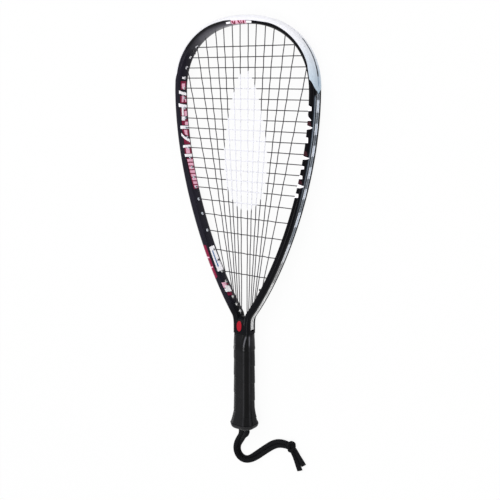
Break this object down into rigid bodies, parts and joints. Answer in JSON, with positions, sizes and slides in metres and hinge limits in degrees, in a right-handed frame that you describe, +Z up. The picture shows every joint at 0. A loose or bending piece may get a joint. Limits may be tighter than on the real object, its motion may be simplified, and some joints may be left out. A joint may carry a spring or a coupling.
{
  "type": "racquetball racket",
  "caption": "Teardrop racquetball racket: black composite hoop and shaft, pale head guard, woven string bed, wrapped eight-sided grip and a wrist cord at the butt.",
  "frame": {"origin": "middle of the racket's outline, without its wrist cord, on the surface it lies on", "axes": "+X across the head to the right, +Y from the butt to the tip of the head, +Z up, out of the string bed; the racket lies face up, resting on the tip of the rim and on the heel of the grip"},
  "size_m": [0.2318, 0.62, 0.0336],
  "materials": {
    "hoop_composite": "satin black carbon composite",
    "bumper_guard": "pale silver moulded nylon",
    "grommet_strip": "light grey moulded nylon",
    "string": "dark grey nylon",
    "foam_core": "cream rigid foam",
    "butt_cap": "black moulded elastomer",
    "grip_wrap": "black tacky tape with slanted seams",
    "grip_collar": "smooth black band",
    "lanyard": "black braided cord"
  },
  "bodies": {
    "root": {"frame": "hoop_composite", "bumper_guard": "bumper_guard", "left_side_grommets": "grommet_strip", "right_side_grommets": "grommet_strip", "left_throat_grommets": "grommet_strip", "right_throat_grommets": "grommet_strip", "main_string": "string", "cross_string": "string", "left_main_knot": "string", "right_main_knot": "string", "upper_cross_knot": "string", "lower_cross_knot": "string", "handle_core": "foam_core", "butt_cap": "butt_cap", "grip_wrap": "grip_wrap", "grip_collar": "grip_collar", "lanyard_bight": "lanyard", "left_lanyard_strand": "lanyard", "right_lanyard_strand": "lanyard", "lanyard_knot": "lanyard", "left_lanyard_tail": "lanyard", "right_lanyard_tail": "lanyard"}
  },
  "joints": []
}
